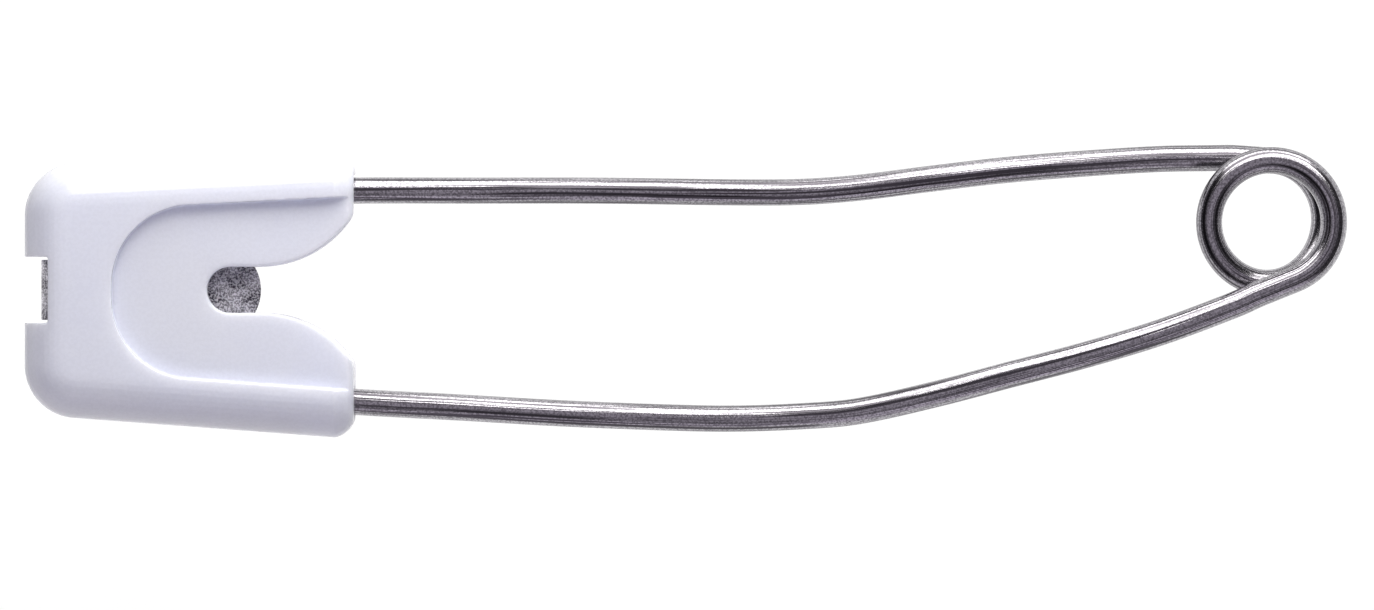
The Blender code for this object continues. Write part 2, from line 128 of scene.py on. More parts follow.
# Plastic head
head_edge_rounding = 0.0018
head_front_edge_rounding = 0.0008
recess_length = 0.01003
recess_corner_share = 0.988
notch_flare_length = 0.00317
lobe_tip_radius = 0.0007
lobe_wall = 0.000685
slot_depth = 0.00106
head_side_wall = 0.00040
head_rear_wall = 0.00103
rear_pin_side_margin = 0.00046
mouth_pin_side_margin = 0.000645
rear_fixed_side_margin = 0.000285
mouth_fixed_side_margin = 0.000435
pocket_corner_radius = 0.0008
tip_pocket_play = 0.00025
tip_rear_clearance = 0.00012
release_edge_height = 0.0009
lock_travel = 0.0007

# Metal clasp
wire_clearance = 0.00015
slide_clearance = 0.00015
clasp_rear_clearance = 0.0001
fold_side_clearance = 0.000125
fold_to_head_rear = 0.00066
fold_strip_length = 0.0043
hook_length = 0.0040
hook_setback = 0.00075
lip_reach = 0.00030
crimp_setback = 0.0006
crimp_to_mouth = 0.0024
crimp_flange = 0.0009
tongue_end_share = 0.613
tongue_beyond_notch_end = 0.0022

# Fineness and making of the meshes
coil_points_per_turn = 96
arm_points_per_span = 10
wire_bevel_resolution = 7
corner_steps = 20
bend_steps = 14
flare_steps = 16
overrun = 0.0010
head_edge_segments = 12
head_edge_profile = 0.5
head_front_segments = 8
head_front_profile = 0.38
head_voxel_mm = 0.045
whole_head = ""
head_smoothing_rounds = {whole_head: 1, "notch_edges": 40}
head_triangles = 170000
notch_edge_reach_mm = 0.5
notch_edge_steps = 8
bore_sides = 48
stamped_edge_mm = 0.05
stamped_edge_segments = 3
stamped_edge_angle = math.radians(50)
smooth_angle = math.radians(40)
merge_distance = 0.000001
pick_margin_mm = 0.01
work_scale = 1000

# Surfaces. A reach is how far a noise runs from its middle to the ends of its mask, and the
# masks and roughnesses of metal are two values of a pattern and what it becomes at each.
cloud_noise = {"Detail": 3.0, "Roughness": 0.55}
cloud_reach = 0.20
speckle_noise = {"Detail": 2.0, "Roughness": 0.55}
speckle_reach = 0.09
plastic_scales = (260, 7000)
plastic_cloud_share = 0.4
plastic_shade = 0.955
plastic_roughness_change = (-0.015, 0.02)
plastic_bump = 0.00000015
plastic_ior = 1.49
plastic_subsurface_weight = 0.65
plastic_subsurface_scale = 0.0009
clasp_scales = (1500, 13000)
clasp_cloud_share = 0.45
clasp_roughness = (0, 1, 0.55, 0.38)
clasp_bump = 0.00003
# The wire's line, scratch and grain masks darken its colour into lengthwise streaks: partly drawing
# streaks, partly painted reflection of the dark studio in their grooves.
wire_line_mapping = {"Scale": (0.008, 1.0, 1.0), "Location": (0.0013, 0.0041, 0.0036)}
wire_line_noise = {"Scale": 11500.0, "Detail": 1.0}
wire_line_mask = (0.39, 0.50)
wire_scratch_mapping = {"Scale": (0.012, 1.0, 1.0)}
wire_scratch_noise = {"Scale": 23000.0, "Detail": 1.0}
wire_scratch_mask = (0.32, 0.50, 0.45, 1.0)
wire_scratch_height = 0.35
wire_grain_mapping = {"Rotation": (0.6, 0.5, 0.9)}
wire_grain_noise = {"Scale": 12000.0, "Detail": 2.0}
wire_grain_mask = (0.38, 0.60, 0.42, 1.0)
wire_roughness = (0.35, 0.65, 0.25, 0.14)
wire_bump = 0.000018

# The picture that the camera is set for
picture_width = 0.05725
camera_distance = 0.400
camera_place = (0.00006, -0.00063)
sensor_width_mm = 36

# The floor lies low enough for the pin arm to swing out at the back without meeting it.
floor_size = 4
floor_drop = 0.012
floor_grey = 0.62
floor_glow = 1.22
floor_glow_share = 0.75

# The studio's glow: two places along an axis of the world, and its strength at each
ceiling_glow = (0.76, 0.93, 0.05, 0.42)
left_glow_by_height = (0.0, 0.26, 0.58, 0.0)
left_glow_by_side = (-0.9, -0.4, 1.0, 0.12)
near_glow_by_side = (-0.86, -0.60, 0.68, 0.0)
near_glow_by_height = (0.02, 0.14, 0.3, 1.0)
horizon_white = (0.0, 0.03, 1.0, 0.0)
studio_tint = (1.03, 0.95, 1.09)


def length_setting(name, description, default):
    return bpy.props.FloatProperty(
        name=name, description=description, default=default, min=0, precision=6, unit="LENGTH"
    )


def colour_setting(name, description, default):
    return bpy.props.FloatVectorProperty(
        name=name, description=description, default=default, min=0, max=1, subtype="COLOR"
    )


class SafetyPinSizes(bpy.types.PropertyGroup):
    """Sizes of the pin that a user would change."""

    overall_length: length_setting(
        "Overall Length", "From the head's rear to the far side of the coil", round(cad_length, 4)
    )
    wire_diameter: length_setting("Wire Diameter", "Diameter of the spring wire", 0.0011)
    coil_mean_radius: length_setting(
        "Coil Mean Radius", "From the coil's axis to the middle of its wire", 0.00257
    )
    coil_turn_gap: length_setting(
        "Coil Turn Gap", "Space between two turns of the coil along its axis", 0.00053
    )
    coil_axis_height: length_setting(
        "Coil Axis Offset", "From the head's middle line to the coil's axis", 0.00283
    )
    pin_arm_height: length_setting(
        "Pin Arm Offset",
        "From the head's middle line to the straight part of the pin arm",
        0.004135,
    )
    fixed_arm_height: length_setting(
        "Fixed Arm Offset",
        "From the head's middle line to the fixed arm at the head's mouth",
        0.004665,
    )
    head_length: length_setting("Head Length", "Length of the plastic head", 0.01372)
    head_thickness: length_setting(
        "Head Thickness", "Thickness of the plastic head", round(cad_thickness, 5)
    )
    head_rear_corner_radius: length_setting(
        "Head Corner Radius", "Radius of the two corners at the head's rear", 0.0022
    )
    rim_width: length_setting(
        "Rim Width", "Width of the raised rim round the head's recess", 0.0020
    )
    recess_depth: length_setting("Recess Depth", "Depth of the recess in the head's front", 0.00045)
    notch_depth: length_setting(
        "Notch Depth", "From the head's mouth to the closed end of its notch", 0.00607
    )
    notch_width: length_setting("Notch Width", "Width of the notch at its neck", 0.0019)
    slot_width: length_setting("Slot Width", "Width of the slot in the head's rear", 0.00275)
    sheet_thickness: length_setting(
        "Sheet Thickness", "Thickness of the sheet that the clasp is folded from", 0.00025
    )
    tongue_width: length_setting("Tongue Width", "Width of the clasp's tongue in the notch", 0.0031)


class SafetyPinColours(bpy.types.PropertyGroup):
    """Colours and finishes of the pin that a user would change."""

    plastic: colour_setting("Plastic", "Colour of the moulded head", (0.83, 0.853, 0.985))
    plastic_roughness: bpy.props.FloatProperty(
        name="Plastic Roughness",
        description="Roughness of the moulded head",
        subtype="FACTOR",
        default=0.19,
        min=0,
        max=1,
    )
    # Where the wire isn't clean, its colour goes towards the streak colour: partly drawing streaks,
    # partly painted reflection of the dark studio in their grooves.
    wire: colour_setting(
        "Wire", "Colour of the plated wire where it is clean", (0.50, 0.485, 0.515)
    )
    wire_streak_and_painted_reflection: colour_setting(
        "Wire Streaks", "Colour of the drawing streaks along the wire", (0.085, 0.079, 0.09)
    )
    clasp: colour_setting(
        "Clasp", "Colour of the clasp's sheet where it is clean", (0.88, 0.86, 0.92)
    )
    clasp_speckle: colour_setting(
        "Clasp Speckle", "Colour of the dull speckles on the clasp's sheet", (0.04, 0.035, 0.05)
    )


def pin_sizes():
    """The sizes in the scene's settings, with the places that follow from them."""
    sizes = bpy.context.scene.safety_pin_sizes
    s = SimpleNamespace(**{name: getattr(sizes, name) for name in SafetyPinSizes.__annotations__})
    s.wire_radius = s.wire_diameter / 2
    s.mid_height = s.head_thickness / 2
    s.head_rear_x = -s.overall_length / 2
    s.head_front_x = s.head_rear_x + s.head_length
    s.coil_x = s.overall_length / 2 - s.coil_mean_radius - s.wire_radius
    s.coil_top = s.coil_axis_height + s.coil_mean_radius
    s.coil_low = s.coil_axis_height - s.coil_mean_radius * math.cos(fixed_arm_exit_angle)
    s.pin_arm_rise = s.coil_top - s.pin_arm_height
    s.tip_height = s.pin_arm_height + pin_arm_route_shares[-1][1] * s.pin_arm_rise
    s.fixed_arm_drop = s.coil_low + s.fixed_arm_height
    s.fixed_arm_end_height = fixed_arm_route_shares[-1][1] * s.fixed_arm_drop - s.coil_low
    s.coil_wrap = coil_and_exits_turn - pin_arm_exit_angle - fixed_arm_exit_angle
    s.clasp_mid = s.wire_radius + wire_clearance + s.sheet_thickness / 2
    s.clasp_reach = s.clasp_mid + s.sheet_thickness / 2 + slide_clearance
    s.pocket_rear_x = s.head_rear_x + head_rear_wall
    s.tip_x = s.head_rear_x + tip_to_head_rear
    s.fixed_arm_end_x = s.head_rear_x + fixed_arm_end_to_head_rear
    s.clasp_rear_x = s.pocket_rear_x + lock_travel + clasp_rear_clearance
    s.hook_rear_x = s.clasp_rear_x + hook_setback
    s.hook_front_x = s.hook_rear_x + hook_length
    s.crimp_rear_x = s.clasp_rear_x + crimp_setback
    s.crimp_front_x = s.head_front_x - crimp_to_mouth
    s.notch_end_x = s.head_front_x - s.notch_depth
    return s


def ease(share):
    """A smooth step from 0 to 1, flat at both ends."""
    share = min(max(share, 0), 1)
    return share * share * (3 - 2 * share)


def coil_point(s, turned):
    """A point on the coil's centre line, by the angle turned since the pin arm leaves it."""
    angle = math.pi / 2 - pin_arm_exit_angle - turned
    drawn_in = math.sin(math.pi * min(turned / coil_drawn_in_turn, 1)) ** 2
    radius = s.coil_mean_radius - coil_draw_in * drawn_in
    rise = (s.wire_diameter + s.coil_turn_gap) / ease(math.tau / s.coil_wrap)
    return Vector(
        (
            s.coil_x + radius * math.cos(angle),
            s.coil_axis_height + radius * math.sin(angle),
            s.mid_height + rise * (ease(turned / s.coil_wrap) - 0.5),
        )
    )


def pin_arm_seam(s):
    return coil_point(s, 0) + pin_arm_heading * coil_end_length


def fixed_arm_seam(s):
    return coil_point(s, s.coil_wrap) + fixed_arm_heading * coil_end_length


def coil_points(s):
    """The coil's centre line: its turns, and a straight end to each arm's seam."""
    steps = math.ceil(s.coil_wrap / math.tau * coil_points_per_turn)
    turns = [coil_point(s, s.coil_wrap * step / steps) for step in range(steps + 1)]
    return [pin_arm_seam(s), *turns, fixed_arm_seam(s)]


def smooth_route(points, before):
    """Points read from a smooth curve through the given ones, which starts as if from before."""
    nodes = [before, *points, 2 * points[-1] - points[-2]]
    route = []
    for place in range(1, len(nodes) - 2):
        a, b, c, d = nodes[place - 1 : place + 3]
        for step in range(arm_points_per_span):
            t = step / arm_points_per_span
            start = 2 * t**3 - 3 * t**2 + 1
            lead = t**3 - 2 * t**2 + t
            trail = t**3 - t**2
            span = (c - b).length
            out_slope = (c - a) * (span / (c - a).length)
            in_slope = (d - b) * (span / (d - b).length)
            route.append(b * start + c * (1 - start) + out_slope * lead + in_slope * trail)
    route.append(nodes[-2])
    return route


def arm_route(s, seam, heading, shares, start, run, rise):
    """An arm's centre line from its seam to the middle plane, with shares from the start."""
    points = [seam + heading * s.wire_radius]
    for run_share, rise_share in shares:
        lift = (seam.z - s.mid_height) * (1 - ease(run_share / arm_settle_share))
        x = start[0] + run * run_share
        y = start[1] + rise * rise_share
        points.append(Vector((x, y, s.mid_height + lift)))
    return [seam, *smooth_route(points, seam)]


def pin_arm_route(s):
    start = (s.coil_x, s.pin_arm_height)
    run = s.tip_x - s.coil_x
    seam = pin_arm_seam(s)
    return arm_route(s, seam, pin_arm_heading, pin_arm_route_shares, start, run, s.pin_arm_rise)


def fixed_arm_route(s):
    start = (coil_point(s, s.coil_wrap).x, s.coil_low)
    run = s.fixed_arm_end_x - start[0]
    seam = fixed_arm_seam(s)
    shares = fixed_arm_route_shares
    return arm_route(s, seam, fixed_arm_heading, shares, start, run, -s.fixed_arm_drop)


def height_at(route, x):
    """The height of an arm's centre line at a place along X."""
    for right, left in zip(route, route[1:]):
        if left.x <= x <= right.x:
            share = (x - right.x) / (left.x - right.x)
            return right.y + (left.y - right.y) * share
    return route[-1].y


def route_spans(route):
    """The distance from each point of a route to the next."""
    return [(after - before).length for before, after in zip(route, route[1:])]


def point_shares(s, from_tip):
    """The share of the wire's radius at each point of the pin arm, from its narrow tip."""
    tip = point_radius / s.wire_radius
    distances = accumulate(route_spans(from_tip), initial=0)
    return [min(1, tip + (1 - tip) * distance / point_length) for distance in distances]


def rounded_outline(corners):
    """An outline from corners (x, y, radius), each turned into an arc of that radius."""
    outline = []
    for place, (x, y, radius) in enumerate(corners):
        corner = Vector((x, y))
        if radius == 0:
            outline.append(corner)
            continue
        back = (Vector(corners[place - 1][:2]) - corner).normalized()
        onward = (Vector(corners[(place + 1) % len(corners)][:2]) - corner).normalized()
        half_angle = back.angle(onward) / 2
        centre = corner + (back + onward).normalized() * (radius / math.sin(half_angle))
        reach = radius / math.tan(half_angle)
        start = corner + back * reach - centre
        turn = start.angle_signed(corner + onward * reach - centre)
        for step in range(corner_steps + 1):
            outline.append(centre + Matrix.Rotation(-turn * step / corner_steps, 2) @ start)
    return outline


def box_outline(left, right, bottom, top):
    corners = ((left, bottom), (right, bottom), (right, top), (left, top))
    return [Vector(corner) for corner in corners]


def pin_side(s, x):
    """The head's edge on the pin arm's side."""
    rear = s.tip_height + s.clasp_reach + rear_pin_side_margin
    mouth = s.pin_arm_height + s.clasp_reach + mouth_pin_side_margin
    return rear + (mouth - rear) * (x - s.head_rear_x) / s.head_length


def fixed_side(s, x):
    """The head's edge on the fixed arm's side, as a distance from the head's axis."""
    rear = s.fixed_arm_end_height + s.clasp_reach + rear_fixed_side_margin
    mouth = s.fixed_arm_height + s.clasp_reach + mouth_fixed_side_margin
    return rear + (mouth - rear) * (x - s.head_rear_x) / s.head_length


def tapered_outline(s, rear_x, front_x, inset, radius):
    """Four corners that follow the head's edges at an inset, with the rear two rounded."""
    return rounded_outline(
        [
            (front_x, pin_side(s, front_x) - inset, 0),
            (rear_x, pin_side(s, rear_x) - inset, radius),
            (rear_x, inset - fixed_side(s, rear_x), radius),
            (front_x, inset - fixed_side(s, front_x), 0),
        ]
    )


def notch_outline(s):
    """The notch: a round closed end, a straight neck and a flared mouth with rounded lips."""
    half = s.notch_width / 2
    lip_height = s.fixed_arm_height - s.wire_radius - wire_clearance - lobe_wall
    flare_turn = 2 * math.atan((lip_height - half - lobe_tip_radius) / notch_flare_length)
    flare_radius = lobe_tip_radius + notch_flare_length / math.sin(flare_turn)
    end_centre = s.notch_end_x + half
    side = []
    for step in range(corner_steps + 1):
        angle = math.pi - math.pi / 2 * step / corner_steps
        side.append(Vector((end_centre + half * math.cos(angle), half * math.sin(angle))))
    lip_centre_x = s.head_front_x - lobe_tip_radius
    neck_x = lip_centre_x - notch_flare_length
    for step in range(flare_steps + 1):
        turn = flare_turn * step / flare_steps
        rise = flare_radius * (1 - math.cos(turn))
        side.append(Vector((neck_x + flare_radius * math.sin(turn), half + rise)))
    lip_centre = Vector((lip_centre_x, lip_height))
    for step in range(1, corner_steps + 1):
        turn = flare_turn + (math.pi / 2 - flare_turn) * step / corner_steps
        side.append(lip_centre + Vector((math.sin(turn), -math.cos(turn))) * lobe_tip_radius)
    side.append(Vector((s.head_front_x + overrun, lip_centre.y)))
    mirrored = [Vector((point.x, -point.y)) for point in reversed(side[1:])]
    return side + mirrored


def pocket_outline(s, pin_route):
    """The hollow for the clasp and the two arms, open at the mouth on the pin arm's side."""
    outer_x = s.head_front_x + overrun
    step_x = s.hook_front_x + lock_travel
    crimp_stop_x = s.crimp_front_x + slide_clearance
    above_arm = s.wire_radius + wire_clearance
    pin_wall = pin_side(s, s.pocket_rear_x) - head_side_wall
    fixed_wall = head_side_wall - fixed_side(s, s.pocket_rear_x)
    return rounded_outline(
        [
            (step_x, pin_side(s, step_x) - head_side_wall, 0),
            (s.pocket_rear_x, pin_wall, pocket_corner_radius),
            (s.pocket_rear_x, fixed_wall, pocket_corner_radius),
            (crimp_stop_x, head_side_wall - fixed_side(s, crimp_stop_x), 0),
            (crimp_stop_x, 0, 0),
            (outer_x, 0, 0),
            (outer_x, height_at(pin_route, s.head_front_x) + above_arm, 0),
            (step_x, height_at(pin_route, step_x) + above_arm, 0),
        ]
    )


def release_outline(s, pin_route):
    """The way out at the back, through which the squeezed pin arm leaves the head."""
    outer_x = s.head_front_x + overrun
    above_arm = s.wire_radius + wire_clearance
    notch_centre_x = s.notch_end_x + s.notch_width / 2
    return rounded_outline(
        [
            (outer_x, height_at(pin_route, s.head_front_x) + above_arm, 0),
            (s.pocket_rear_x, height_at(pin_route, s.pocket_rear_x) + above_arm, s.wire_radius),
            (s.pocket_rear_x, release_edge_height, s.wire_radius),
            (notch_centre_x, release_edge_height, 0),
            (notch_centre_x, 0, 0),
            (outer_x, 0, 0),
        ]
    )


def make_active(item):
    """Select one object alone and make it active."""
    bpy.ops.object.select_all(action="DESELECT")
    item.select_set(True)
    bpy.context.view_layer.objects.active = item


def start_editing(item, mode):
    """Open an object for editing by vertex, edge or face, with everything selected."""
    make_active(item)
    bpy.ops.object.mode_set(mode="EDIT")
    bpy.ops.mesh.select_mode(type=mode)
    bpy.ops.mesh.select_all(action="SELECT")


def stop_editing():
    bpy.ops.object.mode_set(mode="OBJECT")


def face_outwards():
    """Turn all faces of the mesh being edited outwards, and stop editing."""
    bpy.ops.mesh.select_all(action="SELECT")
    bpy.ops.mesh.normals_make_consistent(inside=False)
    stop_editing()


def pick_edges(item, test):
    """In edit mode, select only the edges whose two ends pass the test."""
    bpy.ops.mesh.select_all(action="DESELECT")
    work = bmesh.from_edit_mesh(item.data)
    found = [edge for edge in work.edges if test(*(vert.co for vert in edge.verts))]
    for edge in found:
        edge.select_set(True)
    work.select_flush_mode()
    bmesh.update_edit_mesh(item.data)
    if not found:
        raise RuntimeError(f"no edge was found to select on {item.name}")


def round_edges(width, segments, profile):
    """Bevel the selected edges of a mesh that is modelled in millimetres."""
    bpy.ops.mesh.bevel(
        offset=width * work_scale,
        segments=segments,
        profile=profile,
        affect="EDGES",
        clamp_overlap=False,
    )


def apply_all(item):
    """Apply every modifier of the object in its order."""
    make_active(item)
    for name in [modifier.name for modifier in item.modifiers]:
        bpy.ops.object.modifier_apply(modifier=name)


def add_face(name, outline, level):
    """A flat face of the outline's shape, in millimetres: a filled circle, reshaped."""
    bpy.ops.mesh.primitive_circle_add(
        vertices=len(outline), radius=1, fill_type="NGON", location=(0, 0, 0)
    )
    face = bpy.context.active_object
    face.name = name
    for vertex, point in zip(face.data.vertices, outline):
        vertex.co = Vector((point.x, point.y, level)) * work_scale
    return face


def add_block(name, outline, low, high):
    """A block of the outline's shape, in millimetres, extruded from its face."""
    block = add_face(name, outline, low)
    start_editing(block, "FACE")
    move = (0, 0, (high - low) * work_scale)
    bpy.ops.mesh.extrude_region_move(TRANSFORM_OT_translate={"value": move})
    face_outwards()
    return block


def cut_with(item, cutter):
    """Cut one object out of another and remove the cutter."""
    make_active(item)
    step = item.modifiers.new("cut", "BOOLEAN")
    step.operation = "DIFFERENCE"
    step.solver = "EXACT"
    step.object = cutter
    bpy.ops.object.modifier_apply(modifier=step.name)
    bpy.data.objects.remove(cutter)


def to_metres(item):
    """Scale a mesh that was modelled in millimetres down to its real size."""
    start_editing(item, "VERT")
    share = 1 / work_scale
    bpy.ops.transform.resize(value=(share, share, share), center_override=(0, 0, 0))
    stop_editing()


def finish_piece(item, name, make):
    """Give a finished piece its material, made once, and stop if the piece isn't closed."""
    material = bpy.data.materials.get(name) or make(name, bpy.context.scene.safety_pin_colours)
    item.data.materials.clear()
    item.data.materials.append(material)
    work = bmesh.new()
    work.from_mesh(item.data)
    loose = sum(len(edge.link_faces) != 2 for edge in work.edges)
    work.free()
    if loose or not item.data.polygons:
        raise RuntimeError(f"{item.name} isn't closed: {loose} open edges")


def nearest_finder(points):
    """A tree that finds the nearest of the points and its distance."""
    tree = kdtree.KDTree(len(points))
    for place, point in enumerate(points):
        tree.insert(point, place)
    tree.balance()
    return tree


def set_inputs(tree, node, values):
    """Set a node's inputs, by name or number, to values or from outputs of other nodes."""
    for name, value in values.items():
        if isinstance(value, bpy.types.NodeSocket):
            tree.links.new(value, node.inputs[name])
        else:
            node.inputs[name].default_value = value


def add_node(tree, kind, values=None, **settings):
    node = tree.nodes.new(kind)
    for name, value in settings.items():
        setattr(node, name, value)
    set_inputs(tree, node, values or {})
    return node


def mapped_noise(tree, place, mapping, noise):
    """Noise at a place that is moved, turned or stretched first."""
    mapped = add_node(tree, "ShaderNodeMapping", {"Vector": place, **mapping})
    values = {"Vector": mapped.outputs["Vector"], **noise}
    return add_node(tree, "ShaderNodeTexNoise", values).outputs["Fac"]


def spread(tree, value, low, high, to_low=0.0, to_high=1.0):
    """Map a value from one range to another, held at both ends."""
    values = {
        "Value": value,
        "From Min": low,
        "From Max": high,
        "To Min": to_low,
        "To Max": to_high,
    }
    node = add_node(tree, "ShaderNodeMapRange", values, interpolation_type="SMOOTHSTEP")
    return node.outputs["Result"]


def combine(tree, operation, first, second):
    """A Math node between two outputs or numbers."""
    node = add_node(tree, "ShaderNodeMath", {0: first, 1: second}, operation=operation)
    return node.outputs["Value"]


def blend_colours(tree, share, first, second):
    """A colour mixed by a share, from two outputs or colours with their alpha.

    The Mix node's colour sockets, which share their names, are its inputs 6 and 7 and output 2.
    """
    values = {"Factor": share, 6: first, 7: second}
    return add_node(tree, "ShaderNodeMix", values, data_type="RGBA").outputs[2]


def bump(tree, height, distance):
    values = {"Height": height, "Distance": distance}
    return add_node(tree, "ShaderNodeBump", values).outputs["Normal"]


def speckle_group():
    """Cloudy patches and fine speckles over a surface, which both sheet and plastic show."""
    group = bpy.data.node_groups.get("surface_speckle")
    if group:
        return group
    group = bpy.data.node_groups.new("surface_speckle", "ShaderNodeTree")
    for label, kind, way in (
        ("Vector", "NodeSocketVector", "INPUT"),
        ("Cloud Scale", "NodeSocketFloat", "INPUT"),
        ("Speckle Scale", "NodeSocketFloat", "INPUT"),
        ("Cloud", "NodeSocketFloat", "OUTPUT"),
        ("Speckle", "NodeSocketFloat", "OUTPUT"),
    ):
        group.interface.new_socket(name=label, in_out=way, socket_type=kind)
    source = group.nodes.new("NodeGroupInput")
    target = group.nodes.new("NodeGroupOutput")
    for label, noise, reach in (
        ("Cloud", cloud_noise, cloud_reach),
        ("Speckle", speckle_noise, speckle_reach),
    ):
        linked = {"Vector": source.outputs["Vector"], "Scale": source.outputs[f"{label} Scale"]}
        grain = add_node(group, "ShaderNodeTexNoise", {**linked, **noise})
        mask = spread(group, grain.outputs["Fac"], 0.5 - reach, 0.5 + reach)
        group.links.new(mask, target.inputs[label])
    return group


def mottle(tree, scales, cloud_share):
    """The speckle group on a piece's own coordinates: both masks mixed, and the speckles."""
    values = {
        "Vector": add_node(tree, "ShaderNodeTexCoord").outputs["Object"],
        "Cloud Scale": scales[0],
        "Speckle Scale": scales[1],
    }
    speckle = add_node(tree, "ShaderNodeGroup", values, node_tree=speckle_group())
    clouds = combine(tree, "MULTIPLY", speckle.outputs["Cloud"], cloud_share)
    speckles = speckle.outputs["Speckle"]
    finer = combine(tree, "MULTIPLY", speckles, 1 - cloud_share)
    return combine(tree, "ADD", clouds, finer), speckles


def new_material(name):
    material = bpy.data.materials.new(name)
    material.use_nodes = True
    tree = material.node_tree
    return material, tree, tree.nodes["Principled BSDF"]


def plastic_material(name, colours):
    """Glossy moulded plastic, very slightly uneven in colour, gloss and surface."""
    material, tree, shader = new_material(name)
    share, speckles = mottle(tree, plastic_scales, plastic_cloud_share)
    plain = (*colours.plastic, 1)
    shade = (*(part * plastic_shade for part in colours.plastic), 1)
    roughness = (colours.plastic_roughness + change for change in plastic_roughness_change)
    values = {
        "Base Color": blend_colours(tree, share, shade, plain),
        "Roughness": spread(tree, speckles, 0, 1, *roughness),
        "Normal": bump(tree, speckles, plastic_bump),
        "IOR": plastic_ior,
        "Subsurface Weight": plastic_subsurface_weight,
        "Subsurface Radius": (1.0, 1.0, 1.0),
        "Subsurface Scale": plastic_subsurface_scale,
    }
    set_inputs(tree, shader, values)
    return material


def wire_material(name, colours):
    """Plated spring wire with dark streaks that follow it, from its straightened place: partly
    drawing streaks, partly painted reflection of the dark studio.
    """
    material, tree, shader = new_material(name)
    place = add_node(
        tree, "ShaderNodeAttribute", attribute_type="GEOMETRY", attribute_name="straightened"
    ).outputs["Vector"]
    lines = mapped_noise(tree, place, wire_line_mapping, wire_line_noise)
    scratches = mapped_noise(tree, place, wire_scratch_mapping, wire_scratch_noise)
    grain = mapped_noise(tree, place, wire_grain_mapping, wire_grain_noise)
    # Where clean is low, the wire's colour is darkened into streaks: partly drawing streaks, partly
    # painted reflection.
    clean = spread(tree, lines, *wire_line_mask)
    for pattern, mask in ((scratches, wire_scratch_mask), (grain, wire_grain_mask)):
        clean = combine(tree, "MULTIPLY", clean, spread(tree, pattern, *mask))
    fine = combine(tree, "MULTIPLY", scratches, wire_scratch_height)
    values = {
        "Base Color": blend_colours(tree, clean, (*colours.wire_streak_and_painted_reflection, 1), (*colours.wire, 1)),
        "Roughness": spread(tree, scratches, *wire_roughness),
        "Normal": bump(tree, combine(tree, "ADD", lines, fine), wire_bump),
        "Metallic": 1.0,
    }
    set_inputs(tree, shader, values)
    return material


def clasp_material(name, colours):
    """Dull plated sheet with dark speckles."""
    material, tree, shader = new_material(name)
    share = mottle(tree, clasp_scales, clasp_cloud_share)[0]
    values = {
        "Base Color": blend_colours(tree, share, (*colours.clasp_speckle, 1), (*colours.clasp, 1)),
        "Roughness": spread(tree, share, *clasp_roughness),
        "Normal": bump(tree, share, clasp_bump),
        "Metallic": 1.0,
    }
    set_inputs(tree, shader, values)
    return material


def add_wire(name, route, radius, start_distance, shares=None):
    """A round wire along a route, with each point's place along the straightened wire."""
    bpy.ops.curve.primitive_bezier_curve_add(location=(0, 0, 0))
    wire = bpy.context.active_object
    wire.name = name
    curve = wire.data
    curve.dimensions = "3D"
    curve.splines.clear()
    line = curve.splines.new("POLY")
    line.points.add(len(route) - 1)
    for place, point in enumerate(route):
        line.points[place].co = (*point, 1)
        line.points[place].radius = shares[place] if shares else 1
    curve.bevel_depth = radius
    curve.bevel_resolution = wire_bevel_resolution
    curve.use_fill_caps = True
    make_active(wire)
    bpy.ops.object.convert(target="MESH")
    wire = bpy.context.active_object
    start_editing(wire, "VERT")
    bpy.ops.mesh.remove_doubles(threshold=merge_distance)
    face_outwards()
    bpy.ops.object.shade_smooth_by_angle(angle=smooth_angle)
    note_straightened_place(wire, route, start_distance)
    finish_piece(wire, "plated_wire", wire_material)
    return wire


def note_straightened_place(wire, route, start_distance):
    """Give each point its distance along the wire and its offset across the wire."""
    distances = list(accumulate(route_spans(route), initial=start_distance))
    nearest = nearest_finder(route)
    note = wire.data.attributes.new("straightened", "FLOAT_VECTOR", "POINT")
    for vertex in wire.data.vertices:
        place = nearest.find(vertex.co)[1]
        before = route[max(place - 1, 0)]
        after = route[min(place + 1, len(route) - 1)]
        way = (after - before).normalized()
        across = Vector((0, 0, 1)).cross(way).normalized()
        up = way.cross(across)
        offset = vertex.co - route[place]
        note.data[vertex.index].vector = (distances[place], offset.dot(across), offset.dot(up))


class SAFETYPIN_OT_spring_wire(bpy.types.Operator):
    """Add the spring wire: the fixed arm, the coil and the pin arm with its point"""

    bl_idname = "safety_pin.spring_wire"
    bl_label = "Spring Wire"
    bl_options = {"REGISTER", "UNDO"}

    def execute(self, context):
        s = pin_sizes()
        pin_route = pin_arm_route(s)
        fixed_route = fixed_arm_route(s)
        turns = coil_points(s)
        from_tip = pin_route[::-1]
        pin_arm = add_wire("pin_arm_wire", from_tip, s.wire_radius, 0, point_shares(s, from_tip))
        coil_start = sum(route_spans(pin_route))
        coil = add_wire("coil_wire", turns, s.wire_radius, coil_start)
        fixed_start = coil_start + sum(route_spans(turns))
        fixed_arm = add_wire("fixed_arm_wire", fixed_route, s.wire_radius, fixed_start)
        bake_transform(coil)
        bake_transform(pin_arm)
        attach(fixed_arm, "root")
        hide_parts("spring_coil")
        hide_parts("pin_arm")
        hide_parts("fixed_arm")
        return {"FINISHED"}


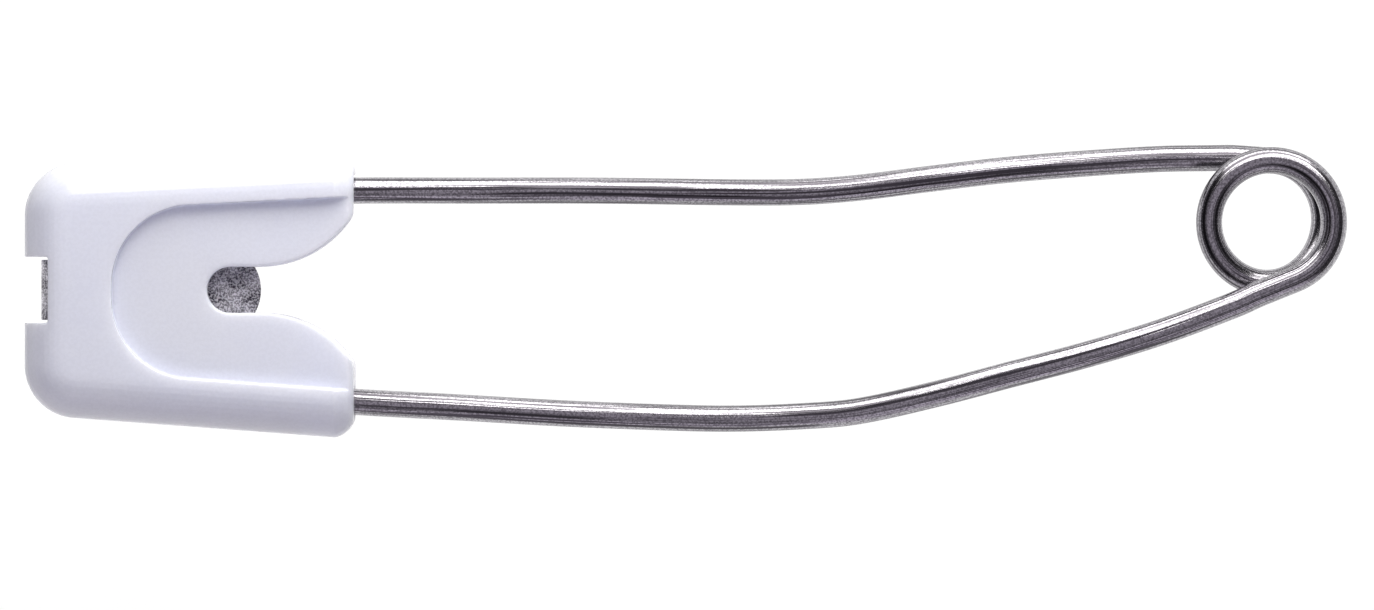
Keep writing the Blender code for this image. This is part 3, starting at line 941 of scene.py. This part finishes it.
def clasp_outline(s, pin_route, fixed_route):
    """The clasp's front plate, and the ends of its edges that are bent back."""
    half_fold = s.slot_width / 2 - fold_side_clearance
    half_tongue = s.tongue_width / 2
    tongue_end_radius = s.tongue_width * tongue_end_share
    tongue_centre = s.notch_end_x + tongue_beyond_notch_end - tongue_end_radius
    tongue_turn = math.asin(half_tongue / tongue_end_radius)
    shoulder = hook_setback
    hook = [Vector((x, height_at(pin_route, x))) for x in (s.hook_front_x, s.hook_rear_x)]
    fold = [Vector((s.clasp_rear_x, half_fold)), Vector((s.clasp_rear_x, -half_fold))]
    crimp = [Vector((x, height_at(fixed_route, x))) for x in (s.crimp_rear_x, s.crimp_front_x)]
    outline = [
        (s.hook_front_x, half_tongue + shoulder),
        *hook,
        (s.hook_rear_x, hook[1].y - shoulder),
        (s.clasp_rear_x, hook[1].y - 2 * shoulder),
        *fold,
        (s.clasp_rear_x, crimp[0].y + shoulder),
        *crimp,
        (s.crimp_front_x, crimp[1].y + shoulder),
        (s.notch_end_x, -half_tongue),
    ]
    for step in range(corner_steps + 1):
        turn = tongue_turn * (2 * step / corner_steps - 1)
        tip = Vector((math.cos(turn), math.sin(turn))) * tongue_end_radius
        outline.append(Vector((tongue_centre, 0)) + tip)
    outline.append((s.notch_end_x, half_tongue))
    return [Vector(corner) for corner in outline], hook, fold, crimp


def draw_out(move):
    """Extrude the selected edge of the sheet by a move in millimetres."""
    bpy.ops.mesh.extrude_region_move(TRANSFORM_OT_translate={"value": tuple(move * work_scale)})


def bend_back(clasp_mid, outward, flange):
    """Wrap the sheet half round from the selected edge, then on by a flat flange."""
    up = Vector((0, 0, clasp_mid))
    place = up
    for step in range(1, bend_steps + 1):
        turn = math.pi * step / bend_steps
        reached = outward * (clasp_mid * math.sin(turn)) + up * math.cos(turn)
        draw_out(reached - place)
        place = reached
    draw_out(outward * -flange)


class SAFETYPIN_OT_clasp(bpy.types.Operator):
    """Add the clasp, folded from one sheet: plate and tongue, hook, crimp and rear fold"""

    bl_idname = "safety_pin.clasp"
    bl_label = "Clasp"
    bl_options = {"REGISTER", "UNDO"}

    def execute(self, context):
        s = pin_sizes()
        outline, hook, fold, crimp = clasp_outline(s, pin_arm_route(s), fixed_arm_route(s))
        level = s.mid_height + s.clasp_mid
        clasp = add_face("clasp_sheet", outline, level)
        start_editing(clasp, "EDGE")
        for ends, flange in ((hook, lip_reach), (fold, fold_strip_length), (crimp, crimp_flange)):
            first, last = (Vector((*end, level)) for end in ends)
            outward = (last - first).normalized().cross(Vector((0, 0, 1)))
            middle = (first + last) / 2 * work_scale
            pick_edges(clasp, lambda a, b: ((a + b) / 2 - middle).length < pick_margin_mm)
            if ends is fold:
                fold_x = s.head_rear_x + fold_to_head_rear + s.sheet_thickness / 2 + s.clasp_mid
                draw_out(Vector((fold_x - s.clasp_rear_x, 0, 0)))
            bend_back(s.clasp_mid, outward, flange)
        face_outwards()
        wall = clasp.modifiers.new("sheet", "SOLIDIFY")
        wall.thickness = s.sheet_thickness * work_scale
        wall.offset = 0
        wall.use_even_offset = True
        rounding = clasp.modifiers.new("stamped_edge", "BEVEL")
        rounding.width = stamped_edge_mm
        rounding.segments = stamped_edge_segments
        rounding.limit_method = "ANGLE"
        rounding.angle_limit = stamped_edge_angle
        apply_all(clasp)
        to_metres(clasp)
        bpy.ops.object.shade_smooth_by_angle(angle=smooth_angle)
        finish_piece(clasp, "plated_clasp_steel", clasp_material)
        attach(clasp, "root")
        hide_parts("metal_clasp")
        return {"FINISHED"}


def head_slab(s):
    """The head's slab, in millimetres, with round edges and a squared front."""
    outer_x = s.head_front_x + 2 * head_edge_rounding
    outline = tapered_outline(s, s.head_rear_x, outer_x, 0, s.head_rear_corner_radius)
    slab = add_block("moulded_head", outline, 0, s.head_thickness)
    start_editing(slab, "EDGE")
    low = pick_margin_mm
    high = s.head_thickness * work_scale - pick_margin_mm
    pick_edges(slab, lambda a, b: max(a.z, b.z) < low or min(a.z, b.z) > high)
    round_edges(head_edge_rounding, head_edge_segments, head_edge_profile)
    bpy.ops.mesh.select_all(action="SELECT")
    bpy.ops.mesh.bisect(
        plane_co=(s.head_front_x * work_scale, 0, 0),
        plane_no=(1, 0, 0),
        use_fill=True,
        clear_outer=True,
    )
    front = s.head_front_x * work_scale - pick_margin_mm
    pick_edges(slab, lambda a, b: min(a.x, b.x) > front)
    round_edges(head_front_edge_rounding, head_front_segments, head_front_profile)
    face_outwards()
    return slab


def cut_head(s, head):
    """Cut the recess, the notch, the rear slot and the hollows out of the slab."""
    pin_route = pin_arm_route(s)
    fixed_route = fixed_arm_route(s)
    recess_rear_x = s.head_front_x - recess_length
    inside = s.head_thickness + overrun
    recess_width = pin_side(s, recess_rear_x) + fixed_side(s, recess_rear_x) - 2 * s.rim_width
    recess = tapered_outline(
        s,
        recess_rear_x,
        s.head_front_x + overrun,
        s.rim_width,
        recess_corner_share * recess_width / 2,
    )
    low = s.mid_height - s.clasp_reach
    high = s.mid_height + s.clasp_reach
    half_slot = s.slot_width / 2
    slot_x = s.head_rear_x + slot_depth
    tip_top = pin_route[-1].y + point_radius + wire_clearance
    tip_rear_x = s.tip_x - lock_travel - tip_rear_clearance
    tip_half = point_radius + tip_pocket_play
    cuts = (
        (recess, s.head_thickness - s.recess_depth, inside),
        (notch_outline(s), -overrun, inside),
        (pocket_outline(s, pin_route), low, high),
        (release_outline(s, pin_route), -overrun, s.mid_height),
        (box_outline(s.head_rear_x - overrun, slot_x, -half_slot, half_slot), -overrun, inside),
        (box_outline(s.head_rear_x, s.pocket_rear_x + overrun, -half_slot, half_slot), low, high),
        (
            box_outline(tip_rear_x, s.pocket_rear_x + overrun, half_slot - overrun, tip_top),
            s.mid_height - tip_half,
            s.mid_height + tip_half,
        ),
    )
    for outline, bottom, top in cuts:
        cut_with(head, add_block("cutter", outline, bottom, top))
    start, mouth = (
        Vector((x, height_at(fixed_route, x), s.mid_height))
        for x in (s.crimp_front_x, s.head_front_x)
    )
    way = mouth - start
    end = mouth + way.normalized() * overrun
    bpy.ops.mesh.primitive_cylinder_add(
        vertices=bore_sides,
        radius=(s.wire_radius + wire_clearance) * work_scale,
        depth=(end - start).length * work_scale,
        location=(start + end) / 2 * work_scale,
        rotation=way.to_track_quat("Z", "Y").to_euler(),
    )
    bore = bpy.context.active_object
    bpy.ops.object.transform_apply(location=True, rotation=True, scale=True)
    cut_with(head, bore)


def mark_notch_edges(s, head):
    """Mark the points beside the notch's edges, which are rounded more than the rest."""
    outline = notch_outline(s)
    spots = []
    for place, point in enumerate(outline):
        before = outline[place - 1]
        for step in range(notch_edge_steps):
            spot = (before + (point - before) * (step / notch_edge_steps)) * work_scale
            spots.append((spot.x, spot.y, 0))
    nearest = nearest_finder(spots)
    group = head.vertex_groups.new(name="notch_edges")
    top = (s.head_thickness - s.recess_depth) * work_scale
    for vertex in head.data.vertices:
        edge = min(abs(vertex.co.z), abs(vertex.co.z - top))
        if edge < notch_edge_reach_mm:
            gap = nearest.find((vertex.co.x, vertex.co.y, 0))[2]
            shares = (2 - 2 * distance / notch_edge_reach_mm for distance in (gap, edge))
            weight = math.prod(ease(share) for share in shares)
            if weight > 0:
                group.add([vertex.index], weight, "REPLACE")


class SAFETYPIN_OT_head(bpy.types.Operator):
    """Add the moulded plastic head with its recess, notch, rear slot and hollows"""

    bl_idname = "safety_pin.head"
    bl_label = "Plastic Head"
    bl_options = {"REGISTER", "UNDO"}

    def execute(self, context):
        s = pin_sizes()
        head = head_slab(s)
        cut_head(s, head)
        even = head.modifiers.new("even_mesh", "REMESH")
        even.mode = "VOXEL"
        even.voxel_size = head_voxel_mm
        apply_all(head)
        mark_notch_edges(s, head)
        for group, rounds in head_smoothing_rounds.items():
            soft = head.modifiers.new("moulded_edges", "SMOOTH")
            soft.iterations = rounds
            soft.vertex_group = group
        fewer = head.modifiers.new("fewer_faces", "DECIMATE")
        fewer.ratio = head_triangles / (2 * len(head.data.polygons))
        apply_all(head)
        to_metres(head)
        bpy.ops.object.shade_smooth()
        finish_piece(head, "moulded_plastic", plastic_material)
        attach(head, "head")
        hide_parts("plastic_head")
        return {"FINISHED"}


def floor_material():
    """Paper that is white to the camera and in reflections, and keeps the pin's shadow."""
    material, tree, shader = new_material("floor_paper")
    colour = (floor_grey, floor_grey, floor_grey, 1)
    set_inputs(tree, shader, {"Base Color": colour, "Roughness": 1.0, "Specular IOR Level": 0.0})
    path = add_node(tree, "ShaderNodeLightPath").outputs
    seen = combine(tree, "MAXIMUM", path["Is Camera Ray"], path["Is Glossy Ray"])
    seen = combine(tree, "MAXIMUM", seen, path["Is Transmission Ray"])
    glow = add_node(tree, "ShaderNodeEmission", {"Strength": floor_glow})
    values = {
        "Fac": combine(tree, "MULTIPLY", seen, floor_glow_share),
        1: shader.outputs["BSDF"],
        2: glow.outputs["Emission"],
    }
    mix = add_node(tree, "ShaderNodeMixShader", values)
    tree.links.new(mix.outputs["Shader"], tree.nodes["Material Output"].inputs["Surface"])
    return material


def studio_world():
    """A dim studio for the light, and plain white behind the pin and at the horizon."""
    world = bpy.data.worlds.new("studio")
    world.use_nodes = True
    tree = world.node_tree
    place = add_node(tree, "ShaderNodeTexCoord")
    split = add_node(tree, "ShaderNodeSeparateXYZ", {"Vector": place.outputs["Generated"]})
    height = split.outputs["Z"]
    studio = spread(tree, height, *ceiling_glow)
    for side, by_side, by_height in (
        ("X", left_glow_by_side, left_glow_by_height),
        ("Y", near_glow_by_side, near_glow_by_height),
    ):
        across = spread(tree, split.outputs[side], *by_side)
        glow = combine(tree, "MULTIPLY", across, spread(tree, height, *by_height))
        studio = combine(tree, "ADD", studio, glow)
    values = {
        channel: combine(tree, "MULTIPLY", studio, tint)
        for channel, tint in zip(("Red", "Green", "Blue"), studio_tint)
    }
    tinted = add_node(tree, "ShaderNodeCombineColor", values).outputs["Color"]
    path = add_node(tree, "ShaderNodeLightPath").outputs
    horizon = spread(tree, height, *horizon_white)
    seen = combine(tree, "MULTIPLY", path["Is Glossy Ray"], horizon)
    for ray in ("Is Camera Ray", "Is Transmission Ray"):
        seen = combine(tree, "MAXIMUM", seen, path[ray])
    colour = blend_colours(tree, seen, tinted, (1, 1, 1, 1))
    set_inputs(tree, tree.nodes["Background"], {"Color": colour, "Strength": 1.0})
    return world


def add_softbox(name, direction, distance, shift_x, sides, radiance):
    """An area lamp towards the pin, from an azimuth and elevation in degrees, itself unseen."""
    azimuth, elevation = (math.radians(angle) for angle in direction)
    towards = Vector((math.cos(azimuth), math.sin(azimuth), math.tan(elevation))).normalized()
    bpy.ops.object.light_add(
        type="AREA",
        location=towards * distance + Vector((shift_x, 0, 0)),
        rotation=towards.to_track_quat("Z", "Y").to_euler(),
    )
    lamp = bpy.context.active_object
    lamp.name = name
    lamp.data.shape = "RECTANGLE"
    lamp.data.size, lamp.data.size_y = sides
    lamp.data.energy = radiance * math.pi * sides[0] * sides[1]
    lamp.data.color = (1.0, 0.99, 0.97)
    lamp.visible_camera = False
    return lamp


class SAFETYPIN_OT_stage(bpy.types.Operator):
    """Add the floor, the studio light and the camera"""

    bl_idname = "safety_pin.stage"
    bl_label = "Stage"
    bl_options = {"REGISTER", "UNDO"}

    def execute(self, context):
        scene = context.scene
        scene.view_settings.view_transform = "Standard"
        scene.world = studio_world()
        bpy.ops.mesh.primitive_plane_add(size=floor_size, location=(0, 0, -floor_drop))
        floor = bpy.context.active_object
        floor.name = "floor"
        floor.data.materials.append(floor_material())
        bpy.ops.object.transform_apply(location=True, rotation=True, scale=True)
        add_softbox(
            "wide_softbox",
            direction=(90, 30),
            distance=0.072,
            shift_x=0.011,
            sides=(0.106, 0.076),
            radiance=4.4,
        )
        fill = add_softbox(
            "front_fill",
            direction=(-120, 20),
            distance=0.12,
            shift_x=0,
            sides=(0.12, 0.06),
            radiance=1.1,
        )
        fill.visible_glossy = False
        bpy.ops.object.camera_add(
            location=(*camera_place, cad_thickness / 2 + camera_distance), rotation=(0, 0, 0)
        )
        camera = bpy.context.active_object
        camera.name = "photo_camera"
        camera.data.sensor_width = sensor_width_mm
        camera.data.lens = sensor_width_mm * camera_distance / picture_width
        camera.data.clip_start = 0.001
        camera.data.clip_end = 20
        scene.camera = camera
        return {"FINISHED"}


class SAFETYPIN_PT_panel(bpy.types.Panel):
    """The safety pin's sizes, colours and building steps"""

    bl_idname = "SAFETYPIN_PT_panel"
    bl_label = "Safety Pin"
    bl_space_type = "VIEW_3D"
    bl_region_type = "UI"
    bl_category = "Safety Pin"

    def draw(self, context):
        for settings in (context.scene.safety_pin_sizes, context.scene.safety_pin_colours):
            box = self.layout.box()
            for name in settings.__annotations__:
                box.prop(settings, name)
        for operator in operators:
            self.layout.operator(operator.bl_idname)


operators = (
    SAFETYPIN_OT_stage,
    SAFETYPIN_OT_spring_wire,
    SAFETYPIN_OT_clasp,
    SAFETYPIN_OT_head,
)
classes = (SafetyPinSizes, SafetyPinColours, *operators, SAFETYPIN_PT_panel)


def register():
    for item in classes:
        bpy.utils.register_class(item)
    bpy.types.Scene.safety_pin_sizes = bpy.props.PointerProperty(type=SafetyPinSizes)
    bpy.types.Scene.safety_pin_colours = bpy.props.PointerProperty(type=SafetyPinColours)


def unregister():
    del bpy.types.Scene.safety_pin_colours
    del bpy.types.Scene.safety_pin_sizes
    for item in reversed(classes):
        bpy.utils.unregister_class(item)


def main():
    register()
    bpy.ops.safety_pin.stage()
    bpy.ops.safety_pin.spring_wire()
    bpy.ops.safety_pin.clasp()
    bpy.ops.safety_pin.head()


if __name__ == "__main__":
    main()
